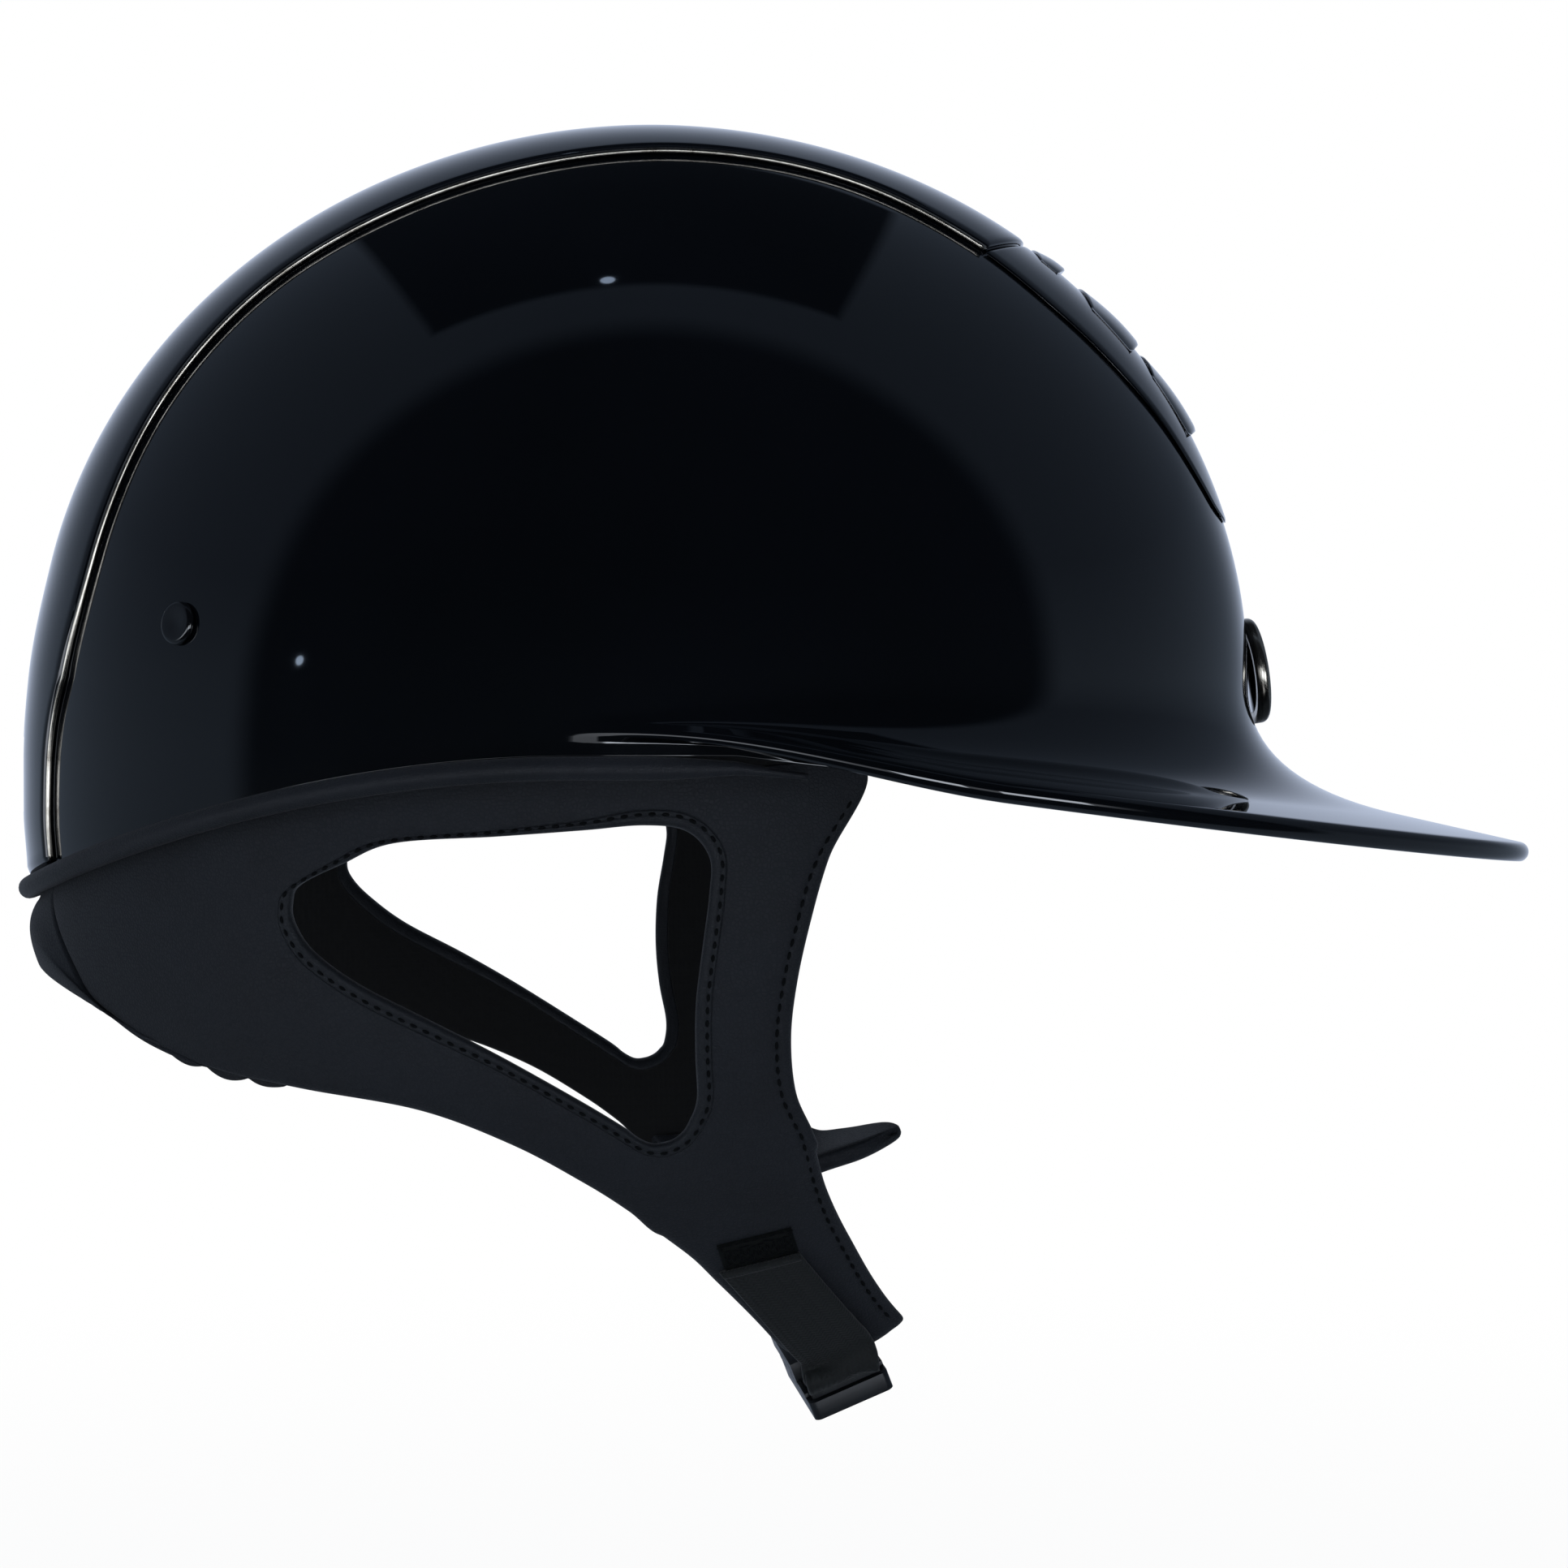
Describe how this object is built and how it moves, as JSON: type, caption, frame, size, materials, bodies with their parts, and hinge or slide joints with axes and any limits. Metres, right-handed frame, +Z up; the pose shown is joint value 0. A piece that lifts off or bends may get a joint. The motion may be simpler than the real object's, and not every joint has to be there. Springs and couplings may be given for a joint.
{
  "type": "riding helmet",
  "caption": "Gloss shell with a wide brim, a raised centre panel and louvred vents, over a stitched leather harness with a slide-release chin strap.",
  "frame": {"origin": "middle of the head opening, level with the shell's edge over the ears", "axes": "+X forward over the brim, +Y to the wearer's left, +Z up"},
  "size_m": [0.3235, 0.227, 0.2678],
  "materials": {
    "shell_gloss": "high gloss lacquer",
    "panel_gloss": "high gloss lacquer",
    "vent_gloss": "gloss moulded",
    "moulded_trim": "fine moulded texture",
    "chrome": "bright plated",
    "badge_face": "gloss domed",
    "plug_plastic": "gloss moulded",
    "washer_metal": "plain",
    "liner_foam": "moulded bead foam",
    "hook_fabric": "hook tape",
    "loop_fabric": "loop tape",
    "pad_fabric": "quick-dry knit",
    "piping_leather": "soft satin",
    "harness_leather": "matte fine grain",
    "binding_leather": "matte fine grain",
    "tack_thread": "dense zigzag stitching",
    "webbing": "flat woven",
    "buckle_plastic": "fine moulded texture",
    "magnet_metal": "nickel plated"
  },
  "bodies": {
    "shell": {"outer_shell": "shell_gloss", "crown_panel": "panel_gloss", "chrome_trim_right": "chrome", "chrome_trim_left": "chrome", "front_vent_panel": "vent_gloss", "vent_louvres": "vent_gloss", "rear_vent_grille": "moulded_trim", "badge_ring": "chrome", "badge_disc": "badge_face", "anchor_plug_right": "plug_plastic", "anchor_plug_left": "plug_plastic", "anchor_washers": "washer_metal", "impact_liner": "liner_foam", "hook_patches": "hook_fabric", "edge_piping": "piping_leather", "harness_panel_right": "harness_leather", "harness_panel_left": "harness_leather", "ear_binding_right": "binding_leather", "ear_binding_left": "binding_leather", "nape_panel": "harness_leather"},
    "comfort_liner": {"headband_pad": "pad_fabric", "crown_pad": "pad_fabric", "loop_patches": "loop_fabric"},
    "chin_loop": {"harness_tail_right": "harness_leather", "harness_tail_left": "harness_leather", "strap_tack": "tack_thread", "chin_webbing_right": "webbing", "chin_webbing_left": "webbing", "buckle_base": "buckle_plastic", "base_magnet": "magnet_metal"},
    "buckle_slide": {"buckle_cover": "buckle_plastic", "cover_magnet": "magnet_metal"},
    "slider": {"strap_slider": "buckle_plastic"}
  },
  "joints": [
    {"name": "liner_pull_out", "type": "slide", "parent": "shell", "child": "comfort_liner", "axis": [0, 0, -1], "range_m": [0, 0.025]},
    {"name": "chin_swing", "type": "hinge", "parent": "shell", "child": "chin_loop", "pos_m": [0.0025, 0, -0.06], "axis": [0, 1, 0], "range_deg": [-18, 18]},
    {"name": "buckle_release", "type": "slide", "parent": "chin_loop", "child": "buckle_slide", "axis": [0.9237, 0.0808, 0.3746], "range_m": [0, 0.016], "deforming": ["chin_webbing_left"]},
    {"name": "slider_adjust", "type": "slide", "parent": "buckle_slide", "child": "slider", "axis": [0.0024, 0.9727, 0.232], "range_m": [-0.008, 0.01]}
  ]
}
